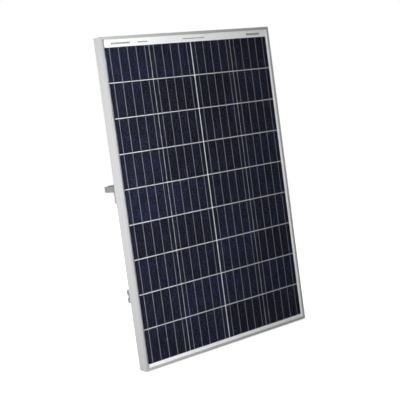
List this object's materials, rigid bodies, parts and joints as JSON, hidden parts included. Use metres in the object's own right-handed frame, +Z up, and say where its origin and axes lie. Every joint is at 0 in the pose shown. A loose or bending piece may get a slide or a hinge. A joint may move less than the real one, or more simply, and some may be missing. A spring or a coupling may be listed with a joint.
{
  "type": "solar panel on folding stand",
  "caption": "Framed polycrystalline solar panel that leans back on its bottom edge, held by cross rails and a folding rear leg with a sliding stay; hinged junction box lid at the back.",
  "frame": {"origin": "centre of the footprint, on the floor", "axes": "+X to the right as one faces the glass, +Y towards the back, +Z up; the panel leans back 12.9 degrees"},
  "size_m": [0.665, 0.3398, 0.9874],
  "materials": {
    "anodised_aluminium": "clear anodised extrusion, satin, with fine lengthwise lines",
    "key_metal": "die-cast, matt",
    "front_glass": "tempered low-iron glass, lightly textured",
    "silicon_cell": "dark blue coated silicon with printed silver lines",
    "ribbon": "tinned copper ribbon",
    "backsheet": "white polymer film",
    "foam_seal": "closed-cell foam",
    "black_rubber": "moulded rubber, matt",
    "black_plastic": "moulded plastic with a fine grain",
    "grey_plastic": "moulded plastic",
    "grey_nylon": "machined nylon",
    "tinned_copper": "stamped and tinned",
    "diode": "moulded epoxy body with tinned leads",
    "plated_steel": "zinc-plated",
    "galvanised_steel": "hot-dip galvanised, faint spangle",
    "powder_coat": "grey powder coat, fine texture"
  },
  "bodies": {
    "panel": {"frame_left": "anodised_aluminium", "frame_right": "anodised_aluminium", "frame_top": "anodised_aluminium", "frame_bottom": "anodised_aluminium", "corner_key_top_left": "key_metal", "corner_key_top_right": "key_metal", "corner_key_bottom_left": "key_metal", "corner_key_bottom_right": "key_metal", "front_glass": "front_glass", "cell_string_1": "silicon_cell", "cell_string_2": "silicon_cell", "cell_string_3": "silicon_cell", "cell_string_4": "silicon_cell", "string_link_bottom_left": "ribbon", "string_link_bottom_right": "ribbon", "string_link_top": "ribbon", "output_ribbon_left": "ribbon", "output_ribbon_right": "ribbon", "backsheet": "backsheet", "edge_seal": "foam_seal", "junction_box": "black_plastic", "lid_seal": "black_rubber", "lid_pin": "plated_steel", "terminal_carrier": "grey_plastic", "terminal_plate_left": "tinned_copper", "terminal_plate_middle": "tinned_copper", "terminal_plate_right": "tinned_copper", "bypass_diode_1": "diode", "bypass_diode_2": "diode", "cable_gland_left": "black_plastic", "cable_gland_right": "black_plastic", "upper_rail": "galvanised_steel", "lower_rail": "galvanised_steel", "guide_channel": "galvanised_steel", "guide_packer": "black_rubber", "guide_bolt_upper": "plated_steel", "guide_bolt_lower": "plated_steel", "rail_bolt_upper_left": "plated_steel", "rail_bolt_upper_right": "plated_steel", "rail_bolt_lower_left": "plated_steel", "rail_bolt_lower_right": "plated_steel", "rail_nut_upper_left": "plated_steel", "rail_nut_upper_right": "plated_steel", "rail_nut_lower_left": "plated_steel", "rail_nut_lower_right": "plated_steel", "leg_bracket_left": "galvanised_steel", "leg_bracket_right": "galvanised_steel"},
    "leg_frame": {"leg_left": "powder_coat", "leg_right": "powder_coat", "leg_crossbar": "powder_coat", "stay_axle": "powder_coat", "foot_left": "black_rubber", "foot_right": "black_rubber", "leg_pivot_pin_left": "plated_steel", "leg_pivot_pin_right": "plated_steel"},
    "stay": {"stay_bar": "powder_coat"},
    "slider": {"slider": "grey_nylon", "slider_pin": "plated_steel"},
    "knob": {"lock_knob": "black_plastic"},
    "lid": {"junction_lid": "black_plastic"}
  },
  "joints": [
    {"name": "leg_fold", "type": "hinge", "parent": "panel", "child": "leg_frame", "pos_m": [0, 0.03902, 0.49446], "axis": [1, 0, 0], "range_deg": [-25.9, 0]},
    {"name": "stay_swing", "type": "hinge", "parent": "leg_frame", "child": "stay", "pos_m": [0, 0.08176, 0.30933], "axis": [1, 0, 0], "range_deg": [0, 51.8]},
    {"name": "slider_pivot", "type": "hinge", "parent": "stay", "child": "slider", "pos_m": [0, -0.0373, 0.16125], "axis": [1, 0, 0], "range_deg": [-25.9, 0]},
    {"name": "knob_turn", "type": "hinge", "parent": "slider", "child": "knob", "pos_m": [0, -0.04489, 0.12811], "axis": [0, 0.9748, -0.2233], "continuous": true},
    {"name": "lid_hinge", "type": "hinge", "parent": "panel", "child": "lid", "pos_m": [0, 0.06466, 0.91371], "axis": [1, 0, 0], "range_deg": [0, 110]}
  ],
  "couplings": [
    {"joint": "stay_swing", "follows": "leg_fold", "ratio": -2},
    {"joint": "slider_pivot", "follows": "leg_fold", "ratio": 1}
  ]
}
